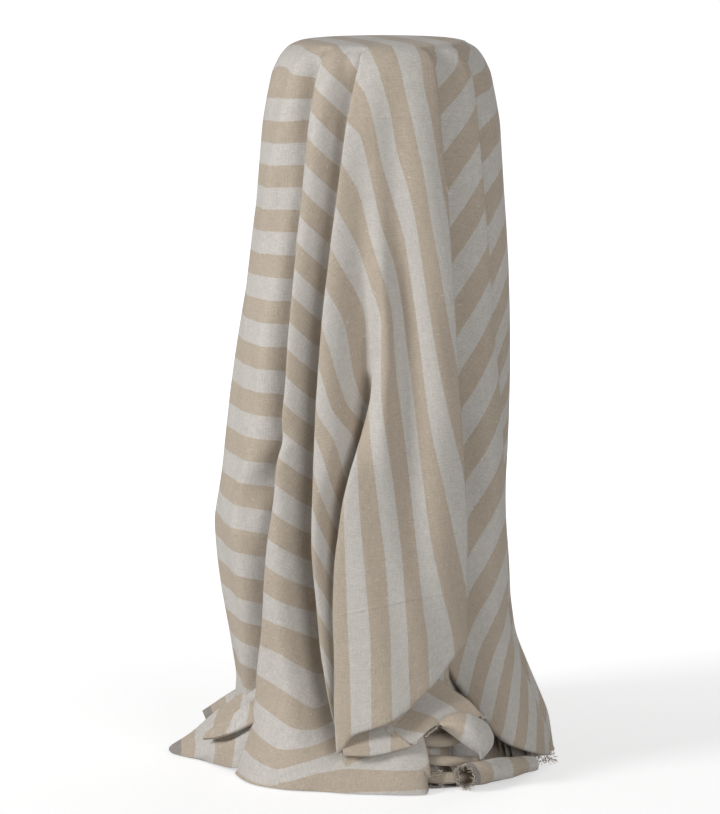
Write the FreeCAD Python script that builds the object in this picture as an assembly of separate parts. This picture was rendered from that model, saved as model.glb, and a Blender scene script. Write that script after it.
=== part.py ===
"""Upright fabric bolt with a length of striped cloth draped over it.

The bolt stands on end: cloth wound on a cardboard tube, a strip of tape that starts the
first turn, and two cotton tapes that stop it unrolling. A cut length of the cloth hangs
over the top in pleats and lies on the floor round the foot.

Frame: +Z is up, -Y is the front, and the origin is the centre of the tube's lower mouth,
on the floor. All lengths are in millimetres.
"""

import FreeCAD, Part
import math
import os

# Driving dimensions
BOLT_HEIGHT = 610.0
CORE_BORE_RADIUS = 25.4
CORE_WALL = 4.6
BOLT_RADIUS = 77.5
BOLT_TOP_ROUND = 12.0
CLOTH_THICKNESS = 1.2

# Fits inside the bolt
WINDING_GAP = 0.2
STARTER_TAPE_THICKNESS = 0.3
STARTER_TAPE_ARC_DEG = 95.0
STARTER_TAPE_MARGIN = 15.0

# The two cotton tapes tied round the bolt
TIE_WIDTH = 14.0
TIE_THICKNESS = 0.8
TIE_HEIGHTS = {"lower_tie": 120.0, "upper_tie": 490.0}
TIE_KNOT_LENGTH = 16.0
TIE_KNOT_ANGLE_DEG = 125.0

# The draped cloth, with its folded layers as one stiff body
DRAPE_GAP = 1.0
DRAPE_TOP_THICKNESS = 4.0
DRAPE_HOLLOW_RADIUS = 79.5
DRAPE_HOLLOW_ROUND = 14.0
DRAPE_TOP_EDGE_ROUND = 3.0
PLEATS = 12
PLEAT_POINTS = 6

CORE_OUTER_RADIUS = CORE_BORE_RADIUS + CORE_WALL
WINDING_INNER_RADIUS = CORE_OUTER_RADIUS + STARTER_TAPE_THICKNESS + WINDING_GAP
DRAPE_TOP = BOLT_HEIGHT + DRAPE_GAP + DRAPE_TOP_THICKNESS

UP = FreeCAD.Vector(0, 0, 1)


def at(radius, angle_deg, z):
    """A point at a radius and an angle about the bolt's axis; 0 degrees is +X, anticlockwise from above."""
    angle = math.radians(angle_deg)
    return FreeCAD.Vector(radius * math.cos(angle), radius * math.sin(angle), z)


def ring(inner, outer, bottom, height):
    """A plain tube about the bolt's axis."""
    base = FreeCAD.Vector(0, 0, bottom)
    return Part.makeCylinder(outer, height, base).cut(Part.makeCylinder(inner, height, base))


def rounded_top(radius, height, edge_round):
    """A cylinder about the bolt's axis with its top edge rounded."""
    body = Part.makeCylinder(radius, height)
    top_edges = [edge for edge in body.Edges if edge.BoundBox.ZMin > 1]
    return body.makeFillet(edge_round, top_edges)


def closed_curve(points):
    """A smooth closed wire through the points."""
    curve = Part.BSplineCurve()
    curve.interpolate(Points=points, PeriodicFlag=True)
    return Part.Wire([curve.toShape()])


def core_tube():
    """The cardboard tube that the cloth is wound on."""
    return ring(CORE_BORE_RADIUS, CORE_OUTER_RADIUS, 0, BOLT_HEIGHT)


def starter_tape():
    """The strip of tape that fixes the first turn to the tube."""
    height = BOLT_HEIGHT - 2 * STARTER_TAPE_MARGIN
    section = Part.makePlane(
        STARTER_TAPE_THICKNESS,
        height,
        FreeCAD.Vector(CORE_OUTER_RADIUS, 0, STARTER_TAPE_MARGIN),
        FreeCAD.Vector(0, -1, 0),
        FreeCAD.Vector(1, 0, 0),
    )
    return section.revolve(FreeCAD.Vector(0, 0, 0), UP, STARTER_TAPE_ARC_DEG)


def wound_cloth():
    """The wound cloth: the outside rises by one cloth thickness in a turn and ends in the free edge."""
    step_angle_deg = 100.0
    turn = [
        at(BOLT_RADIUS - CLOTH_THICKNESS * (1 - k / 12), step_angle_deg + 30 * k, 0)
        for k in range(13)
    ]
    spiral = Part.BSplineCurve()
    spiral.interpolate(turn)
    free_edge = Part.makeLine(turn[-1], turn[0])
    outline = Part.Face(Part.Wire([spiral.toShape(), free_edge]))
    core = Part.makeCylinder(WINDING_INNER_RADIUS, BOLT_HEIGHT)
    soft_end = rounded_top(BOLT_RADIUS, BOLT_HEIGHT, BOLT_TOP_ROUND)
    return outline.extrude(UP * BOLT_HEIGHT).common(soft_end).cut(core)


def tie(height):
    """A cotton tape round the bolt, with its flat knot."""
    inner = BOLT_RADIUS + WINDING_GAP
    outer = inner + TIE_THICKNESS
    band = ring(inner, outer, height - TIE_WIDTH / 2, TIE_WIDTH)
    knot = Part.makeBox(
        2 * TIE_THICKNESS,
        TIE_KNOT_LENGTH,
        TIE_WIDTH * 0.7,
        FreeCAD.Vector(outer - 2 * TIE_THICKNESS, -TIE_KNOT_LENGTH / 2, height - TIE_WIDTH * 0.35),
    )
    knot.rotate(FreeCAD.Vector(0, 0, 0), UP, TIE_KNOT_ANGLE_DEG)
    clear_of_bolt = Part.makeCylinder(inner, BOLT_HEIGHT)
    return band.fuse(knot.cut(clear_of_bolt)).removeSplitter()


class Level:
    """One height of the drape: how far it stands from the axis to the right, back, left and front,
    and how far its pleats swing in and out."""

    def __init__(self, z, right, back, left, front, swing):
        self.z = z
        self.reach = (right, back, left, front)
        self.swing = swing

    def radius(self, angle_deg):
        """The pleats' outer radius, eased between the four directions."""
        quarter, part = divmod((angle_deg % 360) / 90, 1)
        start = self.reach[int(quarter)]
        end = self.reach[(int(quarter) + 1) % 4]
        ease = (1 - math.cos(math.pi * part)) / 2
        mean = start + (end - start) * ease
        return mean - self.swing * (1 - math.cos(math.radians(PLEATS * angle_deg))) / 2

    def outline(self):
        """The pleated outline."""
        count = PLEATS * PLEAT_POINTS
        turns = [360.0 * k / count for k in range(count)]
        return closed_curve([at(self.radius(a), a, self.z) for a in turns])


def round_level(z, radius, swing):
    """A level of the shoulder, which is as wide in every direction."""
    return Level(z, radius, radius, radius, radius, swing)


DRAPE_LEVELS = [
    round_level(DRAPE_TOP, 70, 0.4),
    round_level(608.5, 78, 0.6),
    round_level(597.5, 86.5, 0.8),
    round_level(588, 92, 1.2),
    round_level(567, 97.5, 2.0),
    Level(480, 104, 107, 104, 103, 4.0),
    Level(340, 110, 119, 120, 110, 8.0),
    Level(200, 112, 136, 140, 117, 12.0),
    Level(90, 120, 150, 139, 121, 14.0),
    Level(30, 134, 165, 158, 126, 18.0),
    Level(0, 148, 175, 178, 130, 20.0),
]


def pleated_solid():
    """The solid inside the pleats up to a flat top, with its top edge rounded."""
    body = Part.makeLoft([level.outline() for level in DRAPE_LEVELS], True, True)
    top_edges = [edge for edge in body.Edges if edge.BoundBox.ZMin > DRAPE_TOP - 1]
    return body.makeFillet(DRAPE_TOP_EDGE_ROUND, top_edges)


def draped_cloth():
    """The draped cloth and its folded layers as one body, with the round hollow they leave for the bolt."""
    hollow = rounded_top(DRAPE_HOLLOW_RADIUS, DRAPE_TOP - DRAPE_TOP_THICKNESS, DRAPE_HOLLOW_ROUND)
    return pleated_solid().cut(hollow)


def write(name, shape):
    """Writes one sub-part's STEP file and prints what it measures."""
    shape.exportStep(os.path.join("parts", name + ".step"))
    box = shape.BoundBox
    print(
        f"{name}: valid {shape.isValid()}, {len(shape.Solids)} solid, {shape.Volume / 1000:.1f} cm3, "
        f"x {box.XMin:.1f}..{box.XMax:.1f}, y {box.YMin:.1f}..{box.YMax:.1f}, z {box.ZMin:.1f}..{box.ZMax:.1f}"
    )


def main():
    os.makedirs("parts", exist_ok=True)
    write("core_tube", core_tube())
    write("starter_tape", starter_tape())
    write("wound_cloth", wound_cloth())
    for name, height in TIE_HEIGHTS.items():
        write(name, tie(height))
    write("draped_cloth", draped_cloth())


main()
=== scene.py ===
import math

import bpy
import numpy as np
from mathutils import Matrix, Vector


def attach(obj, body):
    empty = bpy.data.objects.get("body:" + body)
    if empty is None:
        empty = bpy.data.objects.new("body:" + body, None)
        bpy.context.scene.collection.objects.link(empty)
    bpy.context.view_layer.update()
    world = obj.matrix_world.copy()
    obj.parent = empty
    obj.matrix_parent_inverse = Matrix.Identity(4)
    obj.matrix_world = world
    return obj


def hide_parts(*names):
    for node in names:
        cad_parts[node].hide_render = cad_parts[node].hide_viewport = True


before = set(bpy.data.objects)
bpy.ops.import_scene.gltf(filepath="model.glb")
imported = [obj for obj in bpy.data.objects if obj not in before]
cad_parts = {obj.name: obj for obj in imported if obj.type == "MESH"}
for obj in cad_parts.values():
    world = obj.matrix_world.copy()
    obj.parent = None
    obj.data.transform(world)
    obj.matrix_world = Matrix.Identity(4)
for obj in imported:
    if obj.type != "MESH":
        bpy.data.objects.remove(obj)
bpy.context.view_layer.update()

# ---- camera
scene = bpy.context.scene
camera = bpy.data.objects.new("camera", bpy.data.cameras.new("camera"))
scene.collection.objects.link(camera)
scene.camera = camera
camera.location = (0, -3.0, 0.81)
camera.rotation_euler = (math.radians(80.425), 0, 0)
camera.data.sensor_fit = "VERTICAL"
camera.data.sensor_height = 36
camera.data.lens = 158.4
camera.data.shift_x = -0.027

# ---- the cloth's sizes
STRIPES = 0.0381        # one beige and one off-white stripe
STRIPE_AT_AXIS = 0.92   # how far into a stripe pair the bolt's axis lies
WARP = math.radians(20)  # where the warp's front end points, to the right of the front
TOP = 0.615
RIM = 0.588             # below the soft shoulder
CELL = 0.0055           # width of a column of the mesh at the foot
FOOT_RADIUS = 0.13
LAYER_ROOM = 0.0012     # least distance of the cloth's middle from the roll's clearance
SHEET_THICKNESS = 0.0006

# the wound roll under it
ROLL_RADIUS = 0.0775
ROLL_HEIGHT = 0.61
ROLL_ROUND = 0.012
ROLL_CLEARANCE = 0.0005
ROLL_TURN = 0.0012      # how much a turn of the spiral adds to the radius
CORE_RADIUS = 0.0305
FREE_EDGE = math.radians(100)

# the round shoulder: height and radius
SHOULDER = [(.588, .0912), (.5925, .0892), (.5975, .0868), (.602, .0843), (.6065, .0808), (.61, .077),
            (.613, .0718), (.6145, .066), (.615, .06)]
# how far the drape stands from the axis at each height: left, right, front, back
REACH = np.array([
    (0.0, .138, .15, .128, .168), (0.035, .13, .145, .125, .163), (0.071, .126, .1305, .122, .157),
    (0.105, .131, .117, .12, .152), (0.139, .137, .1115, .119, .148), (0.173, .141, .11, .118, .144),
    (0.207, .144, .1085, .117, .141), (0.258, .1375, .108, .115, .136), (0.326, .128, .108, .113, .129),
    (0.394, .118, .107, .109, .12), (0.428, .1125, .106, .107, .116), (0.479, .105, .103, .103, .109),
    (0.513, .102, .101, .101, .105), (0.547, .099, .099, .098, .1), (0.567, .0955, .0955, .095, .0965),
] + [(height,) + (radius,) * 4 for height, radius in SHOULDER])
SHOULDER_ROWS = [.6145, .6138, .613, .6116, .61, .6084, .6065, .6043, .602, .5998, .5975, .5942, .591]


def roll(z):
    """The radius that the drape keeps clear for the wound roll, with its rounded top edge."""
    drop = np.clip((z - (ROLL_HEIGHT - ROLL_ROUND)) / ROLL_ROUND, 0, .999)
    return ROLL_RADIUS - ROLL_ROUND + (ROLL_ROUND + ROLL_CLEARANCE) * math.sqrt(1 - drop * drop)


def smooth(x):
    x = np.clip(x, 0, 1)
    return x * x * (3 - 2 * x)


def along(table, z):
    """A value by height, from (height, value) pairs or a plain number."""
    if not isinstance(table, (list, tuple)):
        return float(table)
    heights, values = zip(*sorted(table))
    return float(np.interp(z, heights, values))


def reach(a, z):
    """The drape's outer radius at an azimuth to the right of the front, and a height."""
    left, right, front, back = (np.interp(z, REACH[:, 0], REACH[:, k]) for k in (1, 2, 3, 4))
    side = np.where(np.sin(a) > 0, right, left)
    ends = np.where(np.cos(a) > 0, front, back)
    return side * np.sin(a) ** 2 + ends * np.cos(a) ** 2


def flat_q(theta, turn, z):
    """Stripe count on cloth that leaves the rim at theta and runs in the cloth direction turn."""
    run = RIM - z
    return STRIPE_AT_AXIS + (0.098 * math.sin(math.radians(theta) - WARP)
                             + run * math.sin(math.radians(turn) - WARP)) / STRIPES


def line_q(theta, turn):
    return [(z, flat_q(theta, turn, z)) for z in (0, .3, .6)]


def bow(high, middle, low):
    """Stripe count along a crease, from its values at heights .55, .3 and .05."""
    curve = np.polyfit([.55, .3, .05], [high, middle, low], 2)
    return [(z, float(np.polyval(curve, z))) for z in np.arange(0, .66, .05)]


class Pleat:
    """A knife pleat: side -1 lies over the cloth to its left, side 1 over the cloth to its right."""

    def __init__(self, side, crease, q_crease, q_under,
                 grow=.12, cap=.076, folds=3, start=.6145, step=.005, ease=18):
        self.side, self.folds, self.start = side, folds, start
        self.crease, self.q_crease, self.q_under = crease, q_crease, q_under
        self.grow, self.cap, self.step, self.ease = grow, cap, step, ease

    def at(self, z):
        """Sets the pleat's measures at a height: crease azimuth, depth, how far it has formed, the step in
        the surface beside it, the width over which that step eases out, and its two stripe counts."""
        self.c = math.radians(along(self.crease, z))
        self.b = min(along(self.cap, z), max(0.0, self.grow * (self.start - z) + .004))
        self.on = float(smooth((self.start - z) / 0.007))
        self.e = along(self.step, z)
        self.w = math.radians(along(self.ease, z))
        self.qc = along(self.q_crease, z)
        self.qu = along(self.q_under, z)


CENTRE_EDGE = [(.33, -3.0), (.296, -3.35), (.262, -3.5), (.196, -3.9), (.06, -4.05), (0, -4.1)]
CENTRE_UNDER = [(.33, -3.0), (.296, -3.9), (.262, -4.4), (.196, -6.1), (.13, -7.6), (.05, -9.2), (0, -9.9)]
RIDGE_STEP = [(.613, .003), (.608, .008), (.6, .01), (.58, .01), (.5, .013), (.3, .019), (.2, .024),
              (.1, .025), (.05, .018), (0, .01)]

LEFT_PLEATS = [
    Pleat(-1, -152, line_q(-152, -147), line_q(-152, -157)),
    Pleat(-1, [(.6, -124), (0, -122)], line_q(-124, -119), line_q(-124, -129)),
    Pleat(-1, [(.6, -98), (0, -96)], bow(-2.43, -9.28, -15.7), line_q(-98, -103)),
    Pleat(-1, [(.6, -36.4), (.542, -38.9), (.46, -41.8), (.341, -43.5), (.246, -45.5), (.146, -51),
               (.065, -60), (0, -64)],
          bow(-2.31, -8.03, -13.39), bow(-2.59, -9.19, -15.35), step=RIDGE_STEP, ease=14),
    Pleat(-1, [(.6, -13), (.55, -18.4), (.46, -24.4), (.41, -27.1), (.323, -29.5), (.194, -29.2), (.117, -27),
               (.09, -25), (.063, -22.5), (.03, -17), (0, -15)],
          bow(-1.09, -5.03, -9.43), bow(-1.68, -7.55, -12.9),
          step=[(.613, .003), (.608, .008), (.6, .01), (.5, .013), (.4, .018), (.3, .025), (.2, .034),
                (.1, .038), (.05, .026), (0, .012)],
          ease=[(.6, 16), (.4, 15), (.25, 14), (.1, 16), (0, 20)],
          grow=.15, cap=[(.3, .05), (.15, .055), (.1, .078), (.07, .09), (.03, .082), (0, .078)]),
    Pleat(-1, [(.4, -4), (.329, -5.8), (.296, -10.7), (.241, -17.4), (.195, -20), (.145, -20.8),
               (.069, -20.3), (0, -17)],
          CENTRE_EDGE, CENTRE_UNDER, cap=.03, folds=1, start=.35,
          ease=[(.33, 9), (.25, 8), (.2, 6.5), (.15, 5), (0, 4)],
          step=[(.36, 0), (.33, .016), (.3, .03), (.25, .028), (.2, .016), (.15, .009), (.08, .007),
                (0, .005)]),
]
RIGHT_PLEATS = [
    Pleat(1, [(.6, 30.6), (.546, 30.8), (.49, 34), (.409, 35), (.327, 37.5), (.215, 41.4), (.125, 41),
              (0, 39)],
          bow(1.37, .41, -1.1), bow(2.65, 6.76, 10.72), grow=.13, cap=.052, ease=22,
          step=[(.613, .003), (.608, .008), (.58, .009), (.5, .01), (.3, .011), (.2, .014), (.1, .026),
                (0, .028)]),
    Pleat(1, [(.6, 56.2), (.544, 56), (.482, 58.4), (.403, 62.2), (.319, 69), (.244, 76), (0, 80)],
          [(.6, 2.6), (.55, 3.29), (.45, 5.1), (.35, 6.9), (.25, 8.5), (.15, 10.3), (.115, 11.3),
           (.075, 12.8), (.03, 14)],
          bow(3.9, 8.75, 14.6), step=[(.612, .003), (.58, .008), (.5, .01), (.3, .009), (0, .008)]),
    Pleat(1, [(.6, 92), (0, 98)], line_q(92, 90), line_q(92, 100)),
    Pleat(1, [(.6, 118), (0, 122)], line_q(118, 113), line_q(118, 123)),
    Pleat(1, [(.6, 146), (0, 148)], line_q(146, 141), line_q(146, 151)),
]

# soft hollows and swells: azimuth by height, half-width in degrees, depth by height (positive is inward)
SWELLS = [
    ([(.5, -9), (.36, -9), (.3, -13)], 6,
     [(.56, 0), (.5, .007), (.44, .015), (.36, .026), (.31, .018), (.27, 0)]),
    ([(.6, -6), (.508, -2.3), (.394, 1.7), (.3, 0)], 4,
     [(.6, 0), (.5, -.0025), (.4, -.006), (.34, -.005), (.26, 0)]),
    ([(.56, 4), (.492, 5.5), (.438, 9), (.331, 12.5), (.2, 14)], 6.5,
     [(.6, 0), (.56, .004), (.49, .01), (.42, .016), (.33, .016), (.24, .008), (.14, 0)]),
    ([(.6, -50), (.553, -56.5), (.478, -66), (.4, -74)], 4.5,
     [(.612, 0), (.6, -.004), (.5, -.005), (.4, 0)]),
    ([(.6, -44), (.5, -54), (.4, -62)], 5, [(.612, 0), (.59, .004), (.5, .006), (.38, 0)]),
    ([(.295, -43), (.267, -52), (.244, -58), (.218, -60.5), (.188, -58.5)], 2.2,
     [(.31, 0), (.285, .008), (.25, .011), (.2, .008), (.175, 0)]),
    ([(.295, -49), (.267, -57), (.244, -63), (.218, -65.5), (.188, -63)], 2.4,
     [(.31, 0), (.285, -.003), (.25, -.004), (.2, -.003), (.175, 0)]),
    ([(.6, -70), (0, -76)], 9, [(.6, 0), (.45, .002), (.2, .004), (0, .004)]),
    ([(.6, 46), (.3, 50), (0, 58)], 7, [(.6, 0), (.5, .003), (.3, .005), (.1, .006), (0, .004)]),
    ([(.1, -40), (0, -44)], 13, [(.09, 0), (.04, -.004), (0, -.013)]),
    ([(.1, 10), (0, 15)], 12, [(.06, 0), (0, -.006)]),
]

# stripe counts on the broad front panel: height, the azimuths of its left and right edges, and the counts at
# its left edge, at -10, 0, 10 and 20 degrees, and at its right edge
PANEL_ROWS = [
    (.588, -13, 30.6, [-.45, -.4, .02, .48, .95, 1.48]),
    (.565, -17, 30.7, [-.85, -.75, -.2, .33, .8, 1.4]),
    (.53, -19.5, 31.5, [-1.4, -1.15, -.4, .18, .6, 1.33]),
    (.462, -24.4, 34.4, [-2.4, -1.85, -1.05, -.5, .28, 1.1]),
    (.396, -27.5, 35.4, [-3.4, -2.7, -2.0, -.9, -.08, .86]),
    (.33, -29.4, 37.4, [-4.5, -2.85, -1.95, -1.3, -.38, .52]),
    (.262, -15.2, 39.5, [-3.5, -3.0, -2.3, -1.6, -.75, .1]),
    (.196, -20, 41.5, [-3.9, -3.15, -2.6, -1.87, -1.07, -.16]),
    (.13, -20.8, 41, [-3.95, -3.3, -2.75, -2.02, -1.4, -.55]),
    (.0, -17, 39, [-4.1, -3.35, -2.8, -2.1, -1.5, -1.0]),
]
FRONT_PANEL = [(height, list(zip((left, -10, 0, 10, 20, right), counts)))
               for height, left, right, counts in PANEL_ROWS]

# the same for the lower part of the panel to its left, which spreads at the foot: (azimuth, count) pairs
APRON = [
    (.15, [(-60, -11.35), (-42, -11.3), (-26, -11.05), (18, -11.0)]),
    (.12, [(-60, -11.95), (-42, -11.85), (-26, -11.5), (18, -11.4)]),
    (.088, [(-60, -12.55), (-42, -12.35), (-26, -12.05), (18, -12.0)]),
    (.06, [(-60, -13.15), (-42, -12.9), (-26, -12.5), (-15, -12.8), (18, -13.4)]),
    (.04, [(-60, -13.55), (-42, -13.25), (-26, -13.25), (-15, -13.6), (18, -13.9)]),
    (.02, [(-60, -14.05), (-42, -13.8), (-26, -14.3), (-15, -14.5), (18, -14.6)]),
    (.0, [(-60, -14.6), (-42, -14.65), (-26, -15.1), (-15, -15.05), (18, -15.15)]),
]


def panel_q(table, a, z):
    """Stripe count on a panel that has its own table."""
    rows = table[::-1]
    heights = [row[0] for row in rows]
    k = int(np.clip(np.searchsorted(heights, z) - 1, 0, len(rows) - 2))
    t = np.clip((z - heights[k]) / (heights[k + 1] - heights[k]), 0, 1)
    low, high = (np.interp(np.degrees(a), *zip(*rows[j][1])) for j in (k, k + 1))
    return low * (1 - t) + high * t


def front_q(a, z):
    return panel_q(FRONT_PANEL, a, z)


def swell(a, z):
    total = np.zeros_like(a)
    for path, width, depth in SWELLS:
        centre = math.radians(along(path, z))
        total += along(depth, z) * np.exp(-0.5 * ((a - centre) / math.radians(width)) ** 2)
    return total


def layer_gap(z):
    """Distance between two layers of a pleat."""
    return 0.0008 + 0.0014 * np.clip((RIM - z) / .3, 0, 1)


UNFOLDED = 0.0016       # width of each layer of a pleat where it begins


def fold_ends(p, z):
    """The azimuths at which a pleat's layers turn back, from left to right."""
    r = float(reach(np.array(p.c), z))
    far, near = (p.c - p.side * share * p.b / r for share in (1, .08))
    folded = [p.c] + [far, near] * (p.folds - 1) + [far]
    first = -len(folded)
    if p.side < 0:
        folded.reverse()
        first = 0
    step = UNFOLDED / r * (1 - p.on)
    return [f * p.on + p.c * (1 - p.on) + step * (first + k) for k, f in enumerate(folded)]


def runs(z):
    """The cloth's path round the bolt: for each layer its start and end azimuth, face or inner layer, how
    many layers deep it lies in its own pleat, the side, and the pleat."""
    out = []
    pos = -math.pi
    for pleats in (LEFT_PLEATS, RIGHT_PLEATS):
        for i, p in enumerate(pleats):
            p.at(z)
            ends = fold_ends(p, z)
            out.append((pos, ends[0], "face", 0, p.side, i))
            for k in range(1, len(ends)):
                own = len(ends) - k if p.side < 0 else k
                out.append((ends[k - 1], ends[k], "inner", own, p.side, i))
            pos = ends[-1]
    out.append((pos, math.pi, "face", 0, 1, len(RIGHT_PLEATS)))
    return out


def covered(a, z, kind, own, side, i):
    """How far below the outer surface a layer lies."""
    gap = layer_gap(z)
    depth = np.zeros_like(a)
    over = LEFT_PLEATS[i + (kind == "inner"):] if side < 0 else RIGHT_PLEATS[:i]
    for p in over:
        reach_in = (a - (p.c - p.w)) if p.side < 0 else ((p.c + p.w) - a)
        depth += smooth(reach_in / p.w) * p.on * (2 * p.folds * gap + p.e)
    if side < 0 and i == 4:
        depth *= 1 - smooth((.05 - z) / .04) * smooth((math.radians(26) - a) / .1)
    if kind == "inner":
        p = (LEFT_PLEATS if side < 0 else RIGHT_PLEATS)[i]
        depth += own * (gap + p.e / (2 * p.folds)) * p.on
    return depth


def layer_q(a, f, z, kind, own, side, i, a0, a1, q_start, q_end):
    """Stripe count along one layer."""
    pleats = LEFT_PLEATS if side < 0 else RIGHT_PLEATS
    if kind == "face":
        if side < 0:
            p = pleats[i]
            q0 = q_start if i == 0 else pleats[i - 1].qc
            q = np.interp(a, [a0, p.c, a1 + 1e-6], [q0, p.qu, p.qu + (p.qc - p.qu) / (2 * p.folds)])
            if i == 4 and z < .16:
                k = smooth((.16 - z) / .04)
                q = q * (1 - k) + panel_q(APRON, a, z) * k
        elif i == 0:
            return front_q(a, z)
        else:
            prev = pleats[i - 1]
            q1 = pleats[i].qc if i < len(pleats) else q_end
            near = prev.qu + (prev.qc - prev.qu) / (2 * prev.folds)
            return np.interp(a, [a0, prev.c + 1e-6, a1], [near, prev.qu, q1])
    else:
        p = pleats[i]
        n = 2 * p.folds
        if side < 0:
            k = n - own
            q = p.qu + (p.qc - p.qu) * (k + f) / n
        else:
            return p.qc + (p.qu - p.qc) * (own - 1 + f) / n
    if i == len(pleats) - 1 and z > .3:
        k = float(np.clip((z - .3) / .05, 0, 1))
        q = q * (1 - k) + front_q(a, z) * k
    return q


def waves(seed):
    """Slow wander of the surface."""
    rng = np.random.default_rng(seed)
    terms = [(rng.integers(2, 9), rng.uniform(2, 9), rng.uniform(0, 6.28), rng.uniform(.2, .6))
             for _ in range(14)]
    terms += [(rng.integers(10, 24), rng.uniform(6, 26), rng.uniform(0, 6.28), rng.uniform(.1, .35))
              for _ in range(16)]

    def wrinkle(a, z):
        grow = .25 + .75 * np.clip((RIM - z) / .35, 0, 1)
        return .001 * grow * sum(h * np.sin(k * a + m * z * 3 + ph) for k, m, ph, h in terms)
    return wrinkle


WRINKLE = waves(7)


def seen_from_front(a, r, outer):
    """The azimuth at which the outer surface has the same distance to the right as a recessed point."""
    same = np.arcsin(np.clip(r * np.sin(a) / outer, -1, 1))
    k = smooth((math.radians(88) - np.abs(a)) / math.radians(26))
    return a * (1 - k) + same * k


def soften(x, y, sigma):
    """Rounds a closed path by a Gaussian along its length, keeping the columns' places."""
    px, py = np.append(x, x[0]), np.append(y, y[0])
    length = np.concatenate([[0], np.cumsum(np.hypot(np.diff(px), np.diff(py)))])
    n = int(length[-1] / 0.0007)
    t = np.linspace(0, length[-1], n, endpoint=False)
    keep = np.exp(-2 * (math.pi * np.fft.rfftfreq(n, length[-1] / n) * sigma) ** 2)
    ux, uy = (np.fft.irfft(np.fft.rfft(np.interp(t, length, c)) * keep, n) for c in (px, py))
    return tuple(np.interp(length[:-1], t, c, period=length[-1]) for c in (ux, uy))


def section(z, counts):
    """One closed cross-section of the skirt: x, y, z and the stripe count at each column."""
    q_start, q_end = flat_q(-180, -180, z), flat_q(180, 180, z)
    xs, ys, qs = [], [], []
    for (a0, a1, kind, own, side, i), n in zip(runs(z), counts):
        f = np.linspace(0, 1, n, endpoint=False)
        a = a0 + (a1 - a0) * f
        outer = reach(a, z) - swell(a, z) + WRINKLE(a, z)
        room = np.maximum(outer - roll(z) - LAYER_ROOM, 1e-4)
        d = covered(a, z, kind, own, side, i)
        r = outer - d / (1 + (d / room) ** 4) ** 0.25
        xs.append(r * np.sin(a))
        ys.append(-r * np.cos(a))
        seen = seen_from_front(a, r, reach(a, z))
        qs.append(layer_q(seen, f, z, kind, own, side, i, a0, a1, q_start, q_end))
    softness = np.interp(z, [0, .3, .55, RIM], [.002, .0014, .001, .0008])
    x, y = soften(np.concatenate(xs), np.concatenate(ys), softness)
    return np.stack([x, y, np.full_like(x, z), np.concatenate(qs)], -1)


def skirt_counts():
    """How many columns each layer has, and each column's tags: on a face, side, pleat and own depth."""
    counts, tags = [], []
    for a0, a1, kind, own, side, i in runs(0.0):
        n = max(7, int(math.ceil(abs(a1 - a0) * FOOT_RADIUS / CELL)))
        counts.append(n)
        tags += [(kind == "face", side, i, own)] * n
    return counts, np.array(tags)


def end_height(a, tags):
    """How low each column of the cloth comes before it lies on the floor or turns under."""
    deg = np.degrees(a)
    face, side, i = tags[:, 0] == 1, tags[:, 1], tags[:, 2]
    z = np.full(len(a), .004)
    slope = np.interp(deg, [-30, -22, -17, -12, 2, 12, 24, 33, 41, 46],
                      [.04, .034, .034, .05, .06, .073, .097, .118, .13, .13])
    panel = ((side > 0) & (i == 0) & face) | ((side < 0) & (i == 5) & face)
    z[panel] = slope[panel]
    z[(side < 0) & (i == 4) & ~face] = .015
    behind = ((side < 0) & (i == 5) & ~face) | ((side > 0) & (i == 0) & ~face)
    z[behind] = slope[behind] + .006
    backing = (side > 0) & (i == 0) & (tags[:, 3] >= 4)
    z[backing] = .004
    behind &= ~backing
    right = np.interp(deg, [15, 33, 38.6, 49.5, 52, 54.8, 58, 72, 90, 100],
                      [.14, .12, .102, .0665, .043, .031, .026, .012, .006, .004])
    beside = (side > 0) & ((i == 1) | ((i == 2) & face & (deg < 76)))
    z[beside] = right[beside] + .014 * ~(face & (i == 1))[beside] * (deg < 74)[beside]
    return z, panel | behind | (beside & (deg < 72))


def skirt():
    """The cloth from the middle of its flat top down to its lowest rows."""
    counts, tags = skirt_counts()
    heights = np.concatenate([SHOULDER_ROWS, np.arange(RIM, .003, -.0075), [.002]])
    rows = np.array([section(z, counts) for z in heights])
    n = rows.shape[1]
    azimuth = np.arctan2(rows[-8, :, 0], -rows[-8, :, 1])
    ends, turned = end_height(azimuth, tags)
    out = np.empty_like(rows)
    low = np.clip((RIM - heights) / (RIM - heights[-1]), 0, 1)
    for c in range(n):
        want = np.where(heights > RIM, heights, RIM - low * (RIM - ends[c]))
        for k in range(4):
            out[:, c, k] = np.interp(want[::-1], heights[::-1], rows[::-1, c, k])[::-1]
    # the flat top, whose stripes are straight
    first = out[0]
    r0 = np.hypot(first[:, 0], first[:, 1])
    ct, st = first[:, 0] / r0, first[:, 1] / r0
    above = []
    for f in (.0002, .1, .25, .4, .55, .7, .84, .93):
        r = r0 * f
        level = first[0, 2] + (TOP - first[0, 2]) * smooth((1 - f) * 5)
        above.append(np.stack([r * ct, r * st, np.full(n, level), first[:, 3]], -1))
    V = np.concatenate([np.array(above), out])
    theta = np.arctan2(V[:, :, 0], -V[:, :, 1])
    mean_r, mean_z = np.hypot(V[:, :, 0], V[:, :, 1]).mean(1), V[:, :, 2].mean(1)
    steps = np.hypot(np.diff(mean_r), np.diff(mean_z))
    rho = np.concatenate([[mean_r[0]], mean_r[0] + np.cumsum(steps)])
    flat_rows = len(above) + 9
    for j in range(flat_rows + 8):
        q = STRIPE_AT_AXIS + rho[j] * np.sin(theta[j] - WARP) / STRIPES
        k = smooth((j - flat_rows) / 8)
        V[j, :, 3] = q * (1 - k) + V[j, :, 3] * k
    return V, turned, tags


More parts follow.
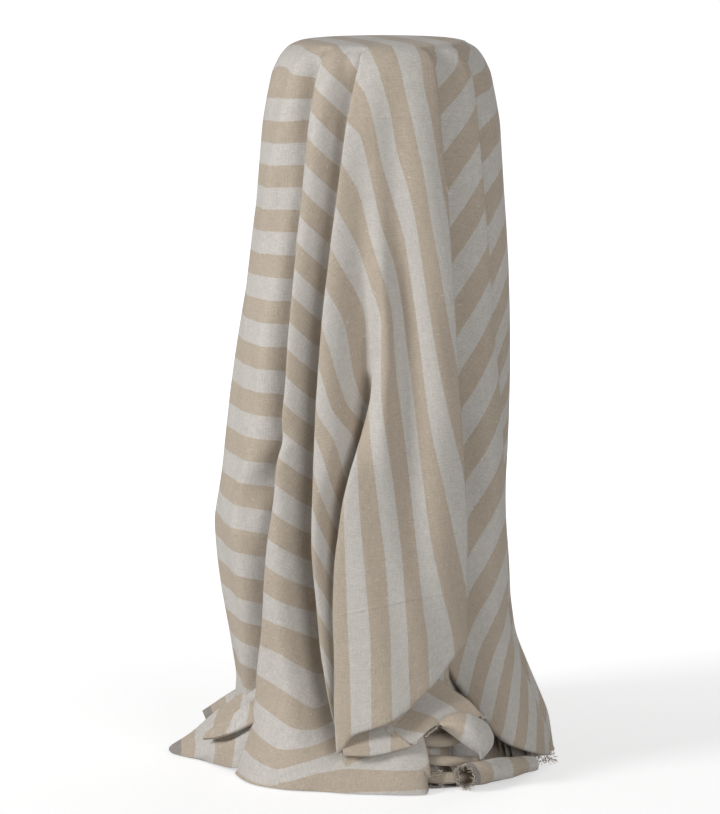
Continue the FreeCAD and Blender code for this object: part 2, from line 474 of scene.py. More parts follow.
def feet(V, turned, tags):
    """Rows below the skirt: the hem lies out on the floor, or the cloth turns under and goes up inside."""
    last = V[-1]
    n = len(last)
    r = np.hypot(last[:, 0], last[:, 1])
    out = last[:, :2] / r[:, None]
    a = np.arctan2(last[:, 0], -last[:, 1])
    rng = np.random.default_rng(11)
    lie = .01 + .008 * sum(np.sin(k * a + rng.uniform(0, 6.28)) for k in (5, 9, 14)) / 2
    lie = np.clip(lie, .003, .022) * (tags[:, 0] == 1)
    front = (np.degrees(a) > -66) & (np.degrees(a) < 100)
    lie[front] *= .15
    rows = []
    # how far inward and up each row of a turned hem lies, and the share of the floor hem that it has run
    inward = [(.001, -.0016), (.0035, -.0024), (.0062, -.001), (.0078, .003), (.0084, .01), (.0086, .02),
              (.0088, .032)]
    spread = [.15, .35, .55, .7, .82, .93, 1.0]
    for (inn, up), s in zip(inward, spread):
        row = last.copy()
        above = np.array([[np.interp(last[c, 2] + max(up, 0), V[::-1, c, 2], V[::-1, c, k]) for k in (0, 1)]
                          for c in range(n)])
        row[:, :2] = np.where(turned[:, None], above - out * inn, last[:, :2] + out * (lie * s)[:, None])
        row[:, 2] = np.where(turned, last[:, 2] + up, np.maximum(.0012, last[:, 2] - .003 * s))
        step = np.where(turned, 0, lie * s)
        row[:, 3] = last[:, 3] + (last[:, 3] - V[-4, :, 3]) * step / .03
        rows.append(row)
    return np.concatenate([V, np.array(rows)])


def weft_lines(V, closed):
    """A second cloth coordinate across the stripe count, so that threads cross at right angles and keep
    their size: the least-squares fit to a field of steps, solved by conjugate gradients."""
    P, U = V[..., :3], V[..., 3] * STRIPES
    if closed:
        P, U = (np.concatenate([X, X[:, :1]], 1) for X in (P, U))
    e1, e2 = P[:-1, 1:] - P[:-1, :-1], P[1:, :-1] - P[:-1, :-1]
    u1, u2 = U[:-1, 1:] - U[:-1, :-1], U[1:, :-1] - U[:-1, :-1]
    g11, g12, g22 = (e1 * e1).sum(-1) + 1e-12, (e1 * e2).sum(-1), (e2 * e2).sum(-1) + 1e-12
    det = np.maximum(g11 * g22 - g12 ** 2, 1e-14)
    grad = ((g22 * u1 - g12 * u2) / det)[..., None] * e1 + ((g11 * u2 - g12 * u1) / det)[..., None] * e2
    normal = np.cross(e1, e2)
    normal /= np.linalg.norm(normal, axis=-1, keepdims=True) + 1e-12
    across = np.cross(normal, grad)
    across /= np.linalg.norm(across, axis=-1, keepdims=True) + 1e-9
    w1, w2 = (across * e1).sum(-1), (across * e2).sum(-1)

    def gather(d1, d2):
        """Steps along the rows and the columns, summed at the points that they join."""
        out = np.zeros(V.shape[:2])
        out[:-1] -= d2
        out[1:] += d2
        if closed:
            out -= d1
            out += np.roll(d1, 1, 1)
        else:
            out[:, :-1] -= d1
            out[:, 1:] += d1
        return out

    def laplace(X):
        d1 = np.roll(X, -1, 1) - X if closed else X[:, 1:] - X[:, :-1]
        return gather(d1, X[1:] - X[:-1]) + 1e-6 * X

    t1 = np.concatenate([w1, w1[-1:]], 0)
    t2 = w2 if closed else np.concatenate([w2, w2[:, -1:]], 1)
    if closed:
        t1[:, -1] = 0
    res = gather(t1, t2)
    step = res.copy()
    size = (res * res).sum()
    W = np.zeros(V.shape[:2])
    for _ in range(500):
        A = laplace(step)
        alpha = size / max((step * A).sum(), 1e-20)
        W += alpha * step
        res -= alpha * A
        new = (res * res).sum()
        if new < 1e-12:
            break
        step = res + new / size * step
        size = new
    return W


def add_mesh(name, verts, faces):
    """An object with a smooth mesh."""
    mesh = bpy.data.meshes.new(name)
    mesh.from_pydata(verts, [], faces)
    mesh.polygons.foreach_set("use_smooth", np.ones(len(mesh.polygons), dtype=bool))
    mesh.update()
    obj = bpy.data.objects.new(name, mesh)
    scene.collection.objects.link(obj)
    return obj


def grid_faces(rows, cols, closed, offset):
    idx = np.arange(rows * cols).reshape(rows, cols) + offset
    if closed:
        idx = np.concatenate([idx, idx[:, :1]], 1)
    return np.stack([idx[:-1, :-1], idx[1:, :-1], idx[1:, 1:], idx[:-1, 1:]], -1).reshape(-1, 4)


def cloth_object(name, grids, subdivide=1, thick=SHEET_THICKNESS):
    """One mesh from several grids of (x, y, z, stripe count), with cloth coordinates as its UV map."""
    verts, faces, uvs = [], [], []
    offset = 0
    for V, closed in grids:
        rows, cols = V.shape[:2]
        verts.append(V[..., :3].reshape(-1, 3))
        faces.append(grid_faces(rows, cols, closed, offset))
        uvs.append(np.stack([V[..., 3].ravel() * STRIPES, weft_lines(V, closed).ravel()], -1))
        offset += rows * cols
    obj = add_mesh(name, np.concatenate(verts).tolist(), np.concatenate(faces).tolist())
    mesh = obj.data
    layer = mesh.uv_layers.new(name="cloth")
    loops = np.empty(len(mesh.loops), dtype=np.int64)
    mesh.loops.foreach_get("vertex_index", loops)
    layer.data.foreach_set("uv", np.concatenate(uvs)[loops].astype(np.float32).ravel())
    if thick:
        shell = obj.modifiers.new("thickness", "SOLIDIFY")
        shell.thickness = thick
        shell.offset = 0
    if subdivide:
        sub = obj.modifiers.new("subdivision", "SUBSURF")
        sub.levels = sub.render_levels = subdivide
    return obj


def spline(points, steps):
    """A smooth line of values through the points along the first axis."""
    P = np.concatenate([2 * points[:1] - points[1:2], points, 2 * points[-1:] - points[-2:-1]])
    out = []
    for k in range(len(points) - 1):
        a, b, c, d = P[k:k + 4]
        for t in np.arange(steps) / steps:
            bend = (2 * a - 5 * b + 4 * c - d) * t * t + (3 * b - a - 3 * c + d) * t ** 3
            out.append(.5 * (2 * b + (c - a) * t + bend))
    out.append(points[-1])
    return np.array(out)


def fold(rows, steps=7):
    """A smooth piece of cloth through rows of (x, y, z, stripe count), the rows in millimetres."""
    net = np.array(rows, dtype=float)
    net[..., :3] /= 1000
    return spline(spline(net, steps).swapaxes(0, 1), steps).swapaxes(0, 1)


def rolled(path, radii, turns, squash, counts):
    """A rolled tube of cloth along a path, or part of one, wound inward like a scroll."""
    around = 40
    path = np.array(path, dtype=float) / 1000
    line = spline(np.concatenate([path, np.array(radii)[:, None] / 1000, np.array(counts)[:, None]], 1), 9)
    out = []
    for k, (x, y, z, r, q) in enumerate(line):
        along_line = line[min(k + 1, len(line) - 1), :3] - line[max(k - 1, 0), :3]
        along_line /= np.linalg.norm(along_line)
        side = np.cross(along_line, (0, 0, 1))
        side /= np.linalg.norm(side)
        up = np.cross(side, along_line)
        t = np.linspace(-.6, 2 * math.pi * turns - .6, around)
        wide = r * (1 - .22 * (t - t[0]) / (2 * math.pi)) * (1 + .05 * np.sin(3 * t + k * .3))
        ring = np.array([x, y, z]) + np.outer(wide * np.cos(t), side)
        ring += np.outer(wide * squash * np.sin(t), up)
        out.append(np.concatenate([ring, np.full((around, 1), q)], 1))
    return np.array(out)


# the folds at the lower right, as rows of (x, y, z, stripe count), in millimetres
FOOT_FOLDS = [
    # the lip under the front panel's tip
    [[(-33, -108, 54, -.1), (-17, -106, 56, .3), (-6, -103, 60, .55), (5, -102, 66, .7)],
     [(-34, -114, 43, -.05), (-16, -111, 45, .35), (-3, -110, 49, .75), (10, -111, 51, 1.0)],
     [(-32, -124, 33.5, .05), (-12, -124.5, 34, .45), (5, -122, 36, .95), (24, -119, 40, 1.4)],
     [(-31, -121, 32, .1), (-11, -121, 31.5, .5), (6, -118, 34, 1.0), (25, -116, 39, 1.45)],
     [(-30, -110, 34, .25), (-10, -110, 36, .6), (7, -108, 38, 1.1), (26, -108, 42, 1.55)]],
    # the layer in the panel's shadow, with a raw lower edge
    [[(-4, -88, 72, 1.5), (11, -85, 85, 1.1), (23, -83, 99, .7), (32, -81, 110, .35)],
     [(1, -97, 61, 1.45), (15, -94, 73, .95), (27, -91, 87, .55), (39, -87, 98, .25)],
     [(2, -104, 56, 1.55), (18, -102, 64, 1.15), (35, -97, 75, .62), (54, -91, 84, .15)],
     [(7, -112, 47, 1.7), (22, -110, 53, 1.4), (45, -106, 65, .85), (73, -96, 72, .05)],
     [(17, -117, 40, 1.9), (28, -115, 41, 1.8), (47, -110, 55, 1.1), (85, -98, 59, .02)]],
    # the loop of cloth to the right of it
    [[(49, -106, 55, .15), (58, -102, 60, .35), (72, -98, 59, .6), (84, -97, 51, .85), (90, -100, 42, 1.1)],
     [(47, -112, 57, .1), (58, -110, 64, .3), (73, -108, 63, .55), (87, -106, 55, .8), (93, -108, 45, 1.05)],
     [(49, -117, 56, .15), (60, -120, 60, .35), (75, -121, 56, .6), (87, -118, 47, .8), (92, -114, 38, 1.0)],
     [(51, -116, 54, .2), (62, -122, 53, .4), (74, -124, 46, .65), (84, -121, 37, .85), (86, -116, 30, 1.0)],
     [(49, -110, 53, .25), (61, -114, 45, .45), (71, -117, 38, .7), (80, -117, 32, .9), (82, -114, 26, 1.0)],
     [(48, -104, 54, .3), (60, -106, 48, .5), (70, -107, 43, .75), (79, -108, 37, .95), (84, -106, 30, 1.1)]],
    # cloth lying on the floor of the hollow
    [[(14, -80, 125, .1), (38, -72, 125, .3), (59, -56, 125, .6), (75, -32, 125, .9), (96, -10, 125, 1.4)],
     [(14, -81, 60, .1), (39, -73, 60, .3), (60, -57, 60, .6), (80, -36, 60, .9), (112, -12, 60, 1.4)],
     [(15, -83, 22, .2), (40, -76, 20, .4), (62, -60, 20, .7), (86, -40, 20, 1.0), (122, -14, 18, 1.5)],
     [(20, -96, 3, .3), (44, -92, 3, .5), (70, -78, 3, .8), (96, -56, 3, 1.1), (130, -24, 3, 1.6)],
     [(24, -115, 1.5, .5), (46, -115, 1.5, .7), (78, -104, 1.5, 1.0), (110, -80, 1.5, 1.3),
      (132, -44, 1.5, 1.8)]],
]
# the flaps that lie out to the left, as rows in the same way
LEFT_FLAPS = [
    [[(-105, -38, 74, -18.1), (-125, -24, 57, -18.7), (-144, -10, 40, -19.1),
      (-164, 0, 20, -19.6), (-182, 4, 7, -20.1)],
     [(-105, -50, 64, -18.1), (-125, -42, 47, -18.6), (-144, -26, 33, -19.0),
      (-164, -10, 15, -19.6), (-184, 3, 5, -20.15)],
     [(-106, -58, 47, -18.0), (-124, -52, 30, -18.5), (-143, -34, 23, -19.0),
      (-163, -15, 10, -19.6), (-184, 1, 3, -20.15)],
     [(-108, -68, 40, -18.0), (-124, -58, 27, -18.5), (-142, -42, 14, -19.0),
      (-161, -21, 3, -19.5), (-181, -3, 1.5, -20.1)],
     [(-108, -70, 14, -17.9), (-124, -60, 4, -18.4), (-141, -42, 2, -18.9), (-159, -19, 1, -19.5),
      (-179, 0, 1, -20.0)]],
    [[(-104, -56, 66, -17.7), (-118, -56, 56, -17.4), (-134, -48, 43, -17.75), (-150, -36, 29, -17.95)],
     [(-106, -66, 58, -17.75), (-120, -64, 47, -17.3), (-136, -54, 35, -17.7), (-152, -38, 26, -17.95)],
     [(-107, -72, 48, -17.8), (-122, -66, 39, -17.35), (-138, -56, 31, -17.7), (-153, -38, 24, -17.95)],
     [(-108, -66, 44, -17.8), (-122, -60, 36, -17.5), (-138, -51, 28, -17.8), (-152, -35, 22, -17.95)]],
    [[(-100, 14, 66, -18.8), (-116, 14, 60, -19.1), (-132, 26, 48, -19.4), (-148, 36, 35, -19.8),
      (-157, 40, 28, -20.1)],
     [(-100, 2, 66, -18.8), (-114, 4, 59, -19.1), (-131, 13, 50, -19.4), (-147, 27, 36, -19.8),
      (-156, 34, 28, -20.1)],
     [(-100, -12, 58, -18.8), (-112, -10, 53, -19.1), (-130, 2, 42, -19.4), (-144, 19, 30, -19.8),
      (-153, 29, 22, -20.1)],
     [(-102, -12, 46, -18.8), (-113, -8, 44, -19.1), (-130, 6, 34, -19.4), (-144, 23, 22, -19.8),
      (-152, 32, 16, -20.1)]],
]
# the rolled tubes: path, radii, turns, height over width, and stripe counts
FOOT_ROLLS = [
    # rolls in the hollow behind the loop
    ([(30, -92, 36), (44, -94, 37), (58, -93, 38), (76, -84, 44)],
     [7, 8, 8, 6], .75, .8, [1.2, 1.2, 1.2, 1.2]),
    ([(30, -100, 22), (46, -103, 22), (60, -101, 21), (78, -92, 19)],
     [6, 6, 6, 5], .75, .75, [.2, .3, .4, .5]),
    ([(30, -102, 8), (48, -106, 8), (64, -104, 8), (82, -92, 9)],
     [7, 7, 6.5, 6], .8, .8, [1.0, 1.2, 1.4, 1.6]),
    # the rolled corner with its fringed end
    ([(69, -118, 12), (74, -111.5, 12), (83, -105, 12), (95, -96, 11.8), (106, -86, 11),
      (117, -73, 9.5), (127, -60, 7.5)],
     [11.5, 11.3, 11.3, 11, 10.2, 8.8, 7.2], 1.2, .98,
     [20.6, 20.36, 20.1, 19.75, 19.4, 19.0, 18.7]),
]


def lower_folds():
    """The turned and rolled parts of the cloth at the foot of the bolt."""
    right = [fold(rows) for rows in FOOT_FOLDS] + [rolled(*tube) for tube in FOOT_ROLLS]
    left = [fold(rows) for rows in LEFT_FLAPS]
    return [(piece, False) for piece in right + left]


# ---- materials
class Nodes:
    """Short calls for building a node material."""

    def __init__(self, name, roughness=.9):
        self.material = bpy.data.materials.new(name)
        self.material.use_nodes = True
        self.tree = self.material.node_tree
        self.shader = self.tree.nodes["Principled BSDF"]
        self.shader.inputs["Roughness"].default_value = roughness

    def add(self, kind, **values):
        node = self.tree.nodes.new(kind)
        for key, value in values.items():
            setattr(node, key, value)
        return node

    def put(self, value, socket):
        if isinstance(value, bpy.types.NodeSocket):
            self.tree.links.new(value, socket)
        else:
            socket.default_value = value

    def run(self, kind, values, output=0, **settings):
        """A new node with its inputs set; gives one of its outputs."""
        node = self.add(kind, **settings)
        for key, value in values.items():
            self.put(value, node.inputs[key])
        return node.outputs[output]

    def math(self, operation, a, b=0.0, c=0.0):
        return self.run("ShaderNodeMath", {0: a, 1: b, 2: c}, operation=operation)

    def times(self, a, b):
        return self.math("MULTIPLY", a, b)

    def plus(self, a, b):
        return self.math("ADD", a, b)

    def minus(self, a, b):
        return self.math("SUBTRACT", a, b)

    def split(self, vector):
        node = self.add("ShaderNodeSeparateXYZ")
        self.put(vector, node.inputs[0])
        return node.outputs

    def place(self):
        """Where the point is on the object, in metres."""
        return self.add("ShaderNodeTexCoord").outputs["Object"]

    def mix(self, factor, a, b, blend="MIX"):
        return self.run("ShaderNodeMix", {0: factor, 6: a, 7: b}, 2, data_type="RGBA", blend_type=blend)

    def noise(self, vector, scale, detail=2.0, roughness=.5):
        """Noise at one scale, or stretched by a scale for each axis."""
        if isinstance(scale, tuple):
            scales = (scale + (1.0,))[:3]
            vector, scale = self.run("ShaderNodeMapping", {"Vector": vector, "Scale": scales}), 1.0
        values = {"Vector": vector, "Scale": scale, "Detail": detail, "Roughness": roughness}
        return self.run("ShaderNodeTexNoise", values, "Fac")

    def finish(self, colour, normal):
        """Connects the colour and the normal, and gives the material."""
        self.put(colour, self.shader.inputs["Base Color"])
        self.put(normal, self.shader.inputs["Normal"])
        return self.material

    def ramp(self, value, low, high):
        values = {0: value, 1: low, 2: high}
        return self.run("ShaderNodeMapRange", values, interpolation_type="SMOOTHSTEP")

    def bump(self, height, strength, distance, normal=None):
        values = {"Height": height, "Strength": strength, "Distance": distance}
        if normal is not None:
            values["Normal"] = normal
        return self.run("ShaderNodeBump", values)


BEIGE = (.458, .386, .308, 1)
PALE = (.545, .516, .477, 1)
SELVEDGE = (.3, .27, .245, 1)
SLUB = (.74, .7, .64, 1)
SEED = (.12, .075, .045, 1)
# the stripe counts at which the selvedges begin
SELVEDGE_LEFT, SELVEDGE_RIGHT = -19.85, 20.35
THREAD_PAIR = .0011
# creases along weft threads: height in the middle, slope, curve, left and right end
WEFT_CREASES = [(.5585, 0, -.6, -.066, .047), (.158, .2, -1.2, -.04, .074)]
CREASE_WIDTH = .0022
FRONT_ONLY = -.079


def stripes(m, count):
    """Beige, off-white and selvedge colours by the stripe count, with edges one or two threads wide."""
    from_middle = m.math("ABSOLUTE", m.minus(m.math("FRACT", count), .25))
    beige = m.minus(1.0, m.ramp(from_middle, .24, .26))
    beyond = m.math("GREATER_THAN", count, SELVEDGE_RIGHT)
    before = m.math("LESS_THAN", count, SELVEDGE_LEFT)
    return m.mix(m.math("MAXIMUM", beyond, before), m.mix(beige, PALE, BEIGE), SELVEDGE)


def seeds(m, uv):
    """Round specks scattered at random, 1 on a speck."""
    cells = m.add("ShaderNodeTexVoronoi", feature="F1")
    m.put(uv, cells.inputs["Vector"])
    cells.inputs["Scale"].default_value = 95
    pick = m.add("ShaderNodeSeparateColor")
    m.put(cells.outputs["Color"], pick.inputs[0])
    chosen = m.math("GREATER_THAN", pick.outputs[0], .945)
    size = m.times(pick.outputs[1], .075)
    return m.times(chosen, m.math("LESS_THAN", cells.outputs["Distance"], size))


def weft_crease(m, level, slope, curve, left, right):
    """A line across the front of the drape, 1 along its middle."""
    x, y, z = m.split(m.place())
    line = m.plus(m.math("MULTIPLY_ADD", x, slope, level), m.times(m.times(x, x), curve))
    crease = m.minus(1.0, m.ramp(m.math("ABSOLUTE", m.minus(z, line)), 0.0, CREASE_WIDTH))
    crease = m.times(crease, m.ramp(x, left, left + .012))
    crease = m.times(crease, m.minus(1.0, m.ramp(x, right - .008, right)))
    return m.times(crease, m.math("LESS_THAN", y, FRONT_ONLY))


def striped_cloth(name):
    """Woven cotton with warp stripes, uneven threads, pale slubs and brown seed specks."""
    m = Nodes(name, .92)
    uv = m.add("ShaderNodeUVMap", uv_map="cloth").outputs[0]
    u, v, _ = m.split(uv)
    # the stripes wander a little and have ragged edges
    for scale, detail, width in (((30, 30), 2.0, .0006), ((900, 1300), 1.0, .0014)):
        u = m.plus(u, m.times(m.minus(m.noise(uv, scale, detail), .5), width))
    # uneven warp and weft threads, single and in bands, clouds and grain
    warp = m.noise(uv, (1100, 150), 3.0, .6)
    weft = m.noise(uv, (130, 1100), 3.0, .6)
    warp_bands = m.noise(uv, (260, 9))
    weft_bands = m.noise(uv, (9, 240))
    cloud = m.noise(uv, (9, 9), 3.0)
    grain = m.noise(uv, (950, 950), 2.0, .7)
    tone = .17
    shares = [(warp, .44), (weft, .44), (warp_bands, .08), (weft_bands, .08), (cloud, .16), (grain, .46)]
    for noise, share in shares:
        tone = m.plus(m.times(noise, share), tone)
    grey = m.add("ShaderNodeCombineColor")
    for channel in grey.inputs:
        m.put(tone, channel)
    colour = m.mix(1.0, stripes(m, m.math("DIVIDE", u, STRIPES)), grey.outputs[0], "MULTIPLY")
    # slubs along both threads, and seed specks
    slub = m.math("MAXIMUM", m.ramp(m.noise(uv, (480, 150), 1.0), .72, .8),
                  m.ramp(m.noise(uv, (140, 480), 1.0), .72, .79))
    colour = m.mix(m.times(slub, .45), colour, SLUB)
    colour = m.mix(m.times(seeds(m, uv), .75), colour, SEED)
    # the relief: weave, threads and slubs, then soft crumples, then the creases
    turn = 2 * math.pi / THREAD_PAIR
    weave = m.times(m.math("SINE", m.times(u, turn)), m.math("SINE", m.times(v, turn)))
    relief = m.plus(m.plus(m.times(weave, .16), m.plus(warp, weft)), m.times(slub, .8))
    normal = m.bump(relief, .55, .0005)
    normal = m.bump(m.noise(m.place(), 38, 3.0, .55), .35, .0035, normal)
    for crease in WEFT_CREASES:
        normal = m.bump(weft_crease(m, *crease), .45, .0007, normal)
    m.shader.inputs["Sheen Weight"].default_value = .12
    m.shader.inputs["Sheen Roughness"].default_value = .6
    m.shader.inputs["Specular IOR Level"].default_value = .25
    return m.finish(colour, normal)


cloth = striped_cloth("striped_cotton")
V, turned, tags = skirt()
drape = cloth_object("draped_sheet", [(feet(V, turned, tags), True)] + lower_folds())
drape.data.materials.append(cloth)


def strands(name, paths, thickness, material):
    """Loose threads: thin five-sided tubes along smooth lines."""
    verts, faces = [], []
    sides = 5
    for path in paths:
        line = spline(np.array(path), 4)
        start = len(verts)
        for k, point in enumerate(line):
            ahead = line[min(k + 1, len(line) - 1)] - line[max(k - 1, 0)]
            ahead /= np.linalg.norm(ahead) + 1e-9
            side = np.cross(ahead, (.3, .2, .93))
            side /= np.linalg.norm(side) + 1e-9
            up = np.cross(side, ahead)
            r = thickness * (1 - .5 * k / len(line))
            for j in range(sides):
                t = 2 * math.pi * j / sides
                verts.append(tuple(point + r * (math.cos(t) * side + math.sin(t) * up)))
        faces += grid_faces(len(line), sides, True, start)[:, ::-1].tolist()
        faces.append(list(reversed(range(start, start + sides))))
        faces.append(list(range(len(verts) - sides, len(verts))))
    obj = add_mesh(name, verts, faces)
    obj.data.materials.append(material)
    return obj


def thread_material():
    m = Nodes("loose_thread", .85)
    noise = m.noise(m.place(), 260)
    return m.finish(m.mix(noise, (.5, .43, .34, 1), (.68, .63, .55, 1)), m.bump(noise, .4, .0003))


def curls(rng, root, heading, length, wander):
    """One curling thread from a root point."""
    path = [np.array(root)]
    step = np.array(heading, dtype=float)
    step /= np.linalg.norm(step)
    for _ in range(4):
        step = step + rng.normal(0, wander, 3)
        step /= np.linalg.norm(step)
        path.append(path[-1] + step * length / 4)
        path[-1][2] = max(path[-1][2], .0006)
    return path


# the raw edge in the front panel's shadow, in millimetres
RAW_EDGE = [(1, -107, 55), (8, -113, 46), (17, -117.5, 40), (28, -115.5, 41), (39, -112.5, 48),
            (47, -111, 55)]
# single threads: root, heading and length
LONG_THREADS = [
    ((.002, -.11, .052), (.9, -.3, .1), .022), ((.003, -.111, .05), (.55, -.3, .75), .015),
    ((.008, -.115, .044), (.2, -.4, .9), .013), ((.045, -.113, .056), (1, -.3, .1), .02),
    ((.046, -.113, .058), (.9, -.2, .45), .016), ((.054, -.092, .496), (-.2, -.3, .95), .006),
    ((.054, -.092, .496), (.9, -.2, -.3), .005),
]


def frayed_ends():
    """The threads' paths, end by end."""
    rng = np.random.default_rng(23)
    paths = []
    # round the open end of the rolled corner
    centre, axis = np.array([.069, -.118, .012]), np.array([-.61, -.79, 0])
    side, up = np.array([.79, -.61, 0]), np.array([0, 0, 1.0])
    for t in np.linspace(0, 2 * math.pi, 110, endpoint=False):
        r = .0098 + rng.uniform(-.0008, .0012)
        out = math.cos(t) * side + math.sin(t) * up
        root = centre + r * out - axis * .001
        paths.append(curls(rng, root, axis * .8 + out * rng.uniform(-1.1, .7), rng.uniform(.002, .0052), .5))
    # between the roll and the apron
    for _ in range(26):
        root = (rng.uniform(.046, .066), rng.uniform(-.121, -.108), rng.uniform(.002, .018))
        heading = (rng.uniform(-1, .3), -.6, rng.uniform(-.2, .5))
        paths.append(curls(rng, root, heading, rng.uniform(.005, .01), .5))
    # along the raw edge in the panel's shadow
    for point in spline(np.array(RAW_EDGE) / 1000, 10):
        for _ in range(2):
            root = point + rng.normal(0, .0004, 3)
            heading = (rng.uniform(-.6, .6), -.5, -.8)
            paths.append(curls(rng, root, heading, rng.uniform(.0008, .0026), .35))
    for root, heading, length in LONG_THREADS:
        paths.append(curls(rng, root, heading, length, .16))
    # the fringe that shows under the right-hand hem
    for x in np.linspace(.114, .149, 260):
        y = np.interp(x, [.114, .149], [-.047, -.027])
        root = (x, y + rng.uniform(-.004, .008), rng.uniform(.0006, .0105))
        heading = (rng.uniform(-.7, .7), -1, rng.uniform(-.5, .3))
        paths.append(curls(rng, root, heading, rng.uniform(.0018, .0042), .6))
    # at the end of the shaded layer
    for _ in range(10):
        root = np.array([.084, -.098, .059]) + rng.normal(0, .0008, 3)
        paths.append(curls(rng, root, (rng.uniform(-.3, .8), -.4, -.7), rng.uniform(.002, .005), .4))
    return paths


thread = thread_material()
fray = strands("frayed_ends", frayed_ends(), .00028, thread)
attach(fray, "drape")

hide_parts("draped_cloth")
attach(drape, "drape")


# ---- the roll under the drape
def wound_roll():
    """The wound cloth, with the turns of the spiral in its ends and the free edge down its side."""
    ends = np.arange(CORE_RADIUS, ROLL_RADIUS - .0004, .0004)
    side = np.linspace(.001, .597, 60)
    rng = np.random.default_rng(5)
    uneven = np.interp(np.arange(60), np.arange(0, 60, 2), rng.uniform(-.0006, .0006, 30))
    columns = np.concatenate([np.linspace(0, 2 * math.pi - .02, 95), [2 * math.pi - .004]])
    rows = []

    def ring(r, z, u, turns):
        """One ring; turns is 1 on an end, where the spiral shows."""
        share = columns / (2 * math.pi)
        wide = r - ROLL_TURN * (1 - share) * (r - CORE_RADIUS) / (ROLL_RADIUS - CORE_RADIUS)
        phase = (r - CORE_RADIUS) / ROLL_TURN
        crest = np.abs(np.sin(math.pi * phase)) * .0005 * turns
        into = -1 if z > .3 else 1
        level = z + into * (crest + turns * abs(uneven[int(phase) % 60]))
        angle = columns + FREE_EDGE
        return np.stack([wide * np.cos(angle), wide * np.sin(angle), level + 0 * angle, u + 0 * angle], -1)

    for r in ends:
        rows.append(ring(r, 0, r / STRIPES, 1))
    for z in side:
        rows.append(ring(ROLL_RADIUS + .0002 * math.sin(z * 60), z, z / STRIPES, 0))
    for r in ends[::-1]:
        out = max(0.0, r - (ROLL_RADIUS - ROLL_ROUND))
        level = ROLL_HEIGHT - ROLL_ROUND + math.sqrt(max(0.0, ROLL_ROUND ** 2 - out ** 2))
        rows.append(ring(r, level, (ROLL_HEIGHT + r) / STRIPES, 1))
    rows.append(ring(CORE_RADIUS, .3, .3 / STRIPES, 0))
    return np.array(rows)


def on_roll(r, angle, z, q):
    return (1000 * r * math.cos(angle), 1000 * r * math.sin(angle), z * 1000, q)


def tie_band(height):
    """A cotton tape round the roll, with its flat knot and two short ends."""
    seed = int(height * 1000)
    rng = np.random.default_rng(seed)
    band = []
    angles = np.linspace(0, 2 * math.pi, 120, endpoint=False)
    lift = .0006 * np.sin(2 * angles + seed)
    for across in np.linspace(-.007, .007, 6):
        r = .078 + .0002 * (1 - (across / .007) ** 2)
        band.append(np.stack([r * np.cos(angles), r * np.sin(angles), height + across + lift,
                              across / STRIPES + 0 * angles], -1))
    knot_at = math.radians(125)
    pieces = [(np.array(band), True)]
    for tilt, reach_out in ((1, .16), (-1, .18)):
        loop = [[on_roll(.0786, knot_at + tilt * reach_out * f, height - .004 * f * f + dz, 0)
                 for f in (-.45, -.1, .3, .7)] for dz in (-.005, 0, .005)]
        sag = rng.uniform(.018, .026)
        end = [[on_roll(.0785 + .0002 * f, knot_at + tilt * (.02 + .1 * f) + side * .058,
                        height - .002 - sag * f, 0)
                for f in (0, .35, .7, 1)] for side in (-1, -.3, .3, 1)]
        pieces += [(fold(loop, 5), False), (fold(end, 5), False)]
    return pieces


def tape_material():
    """Plain woven off-white cotton tape."""
    m = Nodes("cotton_tape", .9)
    uv = m.add("ShaderNodeUVMap", uv_map="cloth").outputs[0]
    across = m.noise(uv, (900, 120))
    wear = m.noise(uv, (60, 60))
    colour = m.mix(across, (.5, .46, .39, 1), (.72, .68, .6, 1))
    colour = m.mix(m.times(wear, .35), colour, (.52, .45, .36, 1))
    return m.finish(colour, m.bump(across, .6, .0004))


def card_material():
    """Kraft cardboard with the slanting seam of the wound strips and short fibres."""
    m = Nodes("kraft_card", .85)
    place = m.place()
    x, y, z = m.split(place)
    turn = m.times(m.math("ARCTAN2", y, x), 1 / (2 * math.pi))
    winding = m.math("FRACT", m.plus(m.times(z, 9.0), turn))
    seam = m.minus(1.0, m.ramp(m.math("ABSOLUTE", m.minus(winding, .5)), .0, .012))
    fibre = m.noise(place, (500, 500, 180), 4.0, .6)
    blotch = m.noise(place, 45, 3.0)
    colour = m.mix(fibre, (.25, .165, .095, 1), (.4, .28, .175, 1))
    colour = m.mix(m.times(blotch, .4), colour, (.33, .22, .13, 1))
    colour = m.mix(m.times(seam, .6), colour, (.15, .095, .055, 1))
    return m.finish(colour, m.bump(m.minus(fibre, seam), .5, .0005))


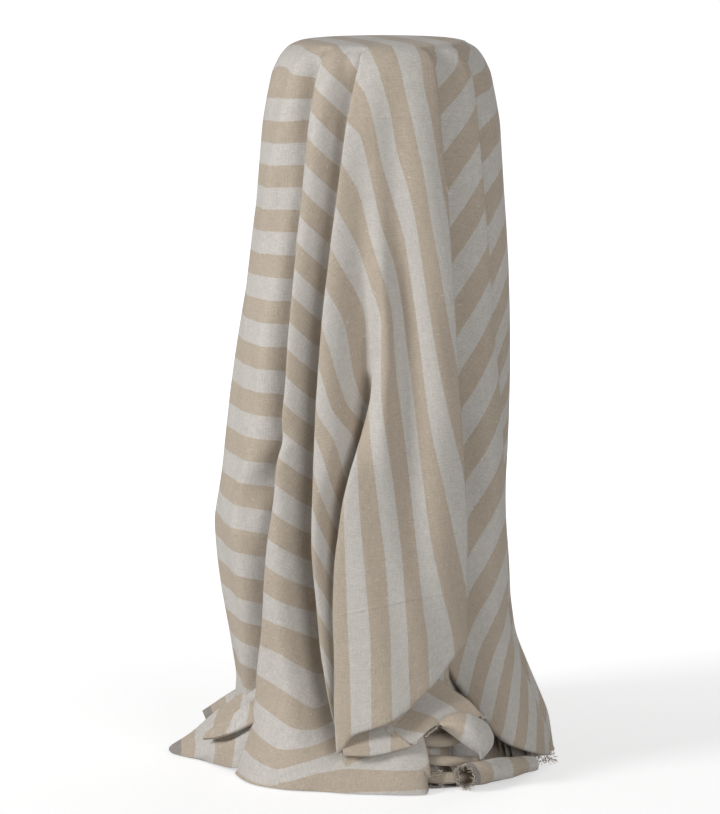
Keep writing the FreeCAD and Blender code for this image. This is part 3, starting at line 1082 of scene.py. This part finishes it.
def paper_material():
    """Pale crepe paper tape with fine ribs."""
    m = Nodes("crepe_paper", .7)
    place = m.place()
    ribs = m.noise(place, (90, 90, 1400), 3.0)
    stain = m.noise(place, 60)
    colour = m.mix(ribs, (.52, .46, .33, 1), (.66, .6, .46, 1))
    colour = m.mix(m.times(stain, .3), colour, (.48, .4, .27, 1))
    return m.finish(colour, m.bump(ribs, .6, .0004))


roll_piece = cloth_object("wound_roll", [(wound_roll(), True)], 0, 0)
roll_piece.data.materials.append(cloth)
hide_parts("wound_cloth")
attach(roll_piece, "bolt")
tape = tape_material()
for node, height in (("lower_tie", .12), ("upper_tie", .49)):
    tie = cloth_object(node.replace("_tie", "_tape_tie"), tie_band(height), 0, .0005)
    tie.data.materials.append(tape)
    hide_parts(node)
    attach(tie, "bolt")
for node, material in (("core_tube", card_material()), ("starter_tape", paper_material())):
    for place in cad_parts[node].material_slots:
        place.material = material


# ---- floor and light
floor = add_mesh("floor", [(-40, -40, 0), (40, -40, 0), (40, 40, 0), (-40, 40, 0)], [(0, 1, 2, 3)])
paper = Nodes("white_floor", .9)
paper.put((.52, .52, .52, 1), paper.shader.inputs["Base Color"])
behind = paper.ramp(paper.split(paper.place())[1], -.15, 1.5)
paper.put((1, 1, 1, 1), paper.shader.inputs["Emission Color"])
# the floor's own light reaches the camera only, so that it doesn't brighten the folds
seen = paper.add("ShaderNodeLightPath").outputs["Is Camera Ray"]
glow = paper.plus(.58, paper.times(behind, .4))
paper.put(paper.times(seen, glow), paper.shader.inputs["Emission Strength"])
floor.data.materials.append(paper.material)

world = bpy.data.worlds.new("studio")
scene.world = world
world.use_nodes = True
world.node_tree.nodes["Background"].inputs[0].default_value = (1, 1, 1, 1)
world.node_tree.nodes["Background"].inputs[1].default_value = .2


def area_light(name, place, size, power):
    """A square soft light that faces the bolt."""
    light = bpy.data.lights.new(name, "AREA")
    light.energy, light.size = power, size
    obj = bpy.data.objects.new(name, light)
    scene.collection.objects.link(obj)
    obj.location = place
    obj.rotation_euler = (Vector((0, 0, .3)) - Vector(place)).to_track_quat("-Z", "Y").to_euler()


area_light("key", (-2.7, -1.45, 1.65), 1.0, 84)
area_light("fill", (1.8, -3.1, 1.35), 1.8, 48)
area_light("back", (1.4, 2.7, 1.5), 2.0, 24)
scene.view_settings.view_transform = "Standard"
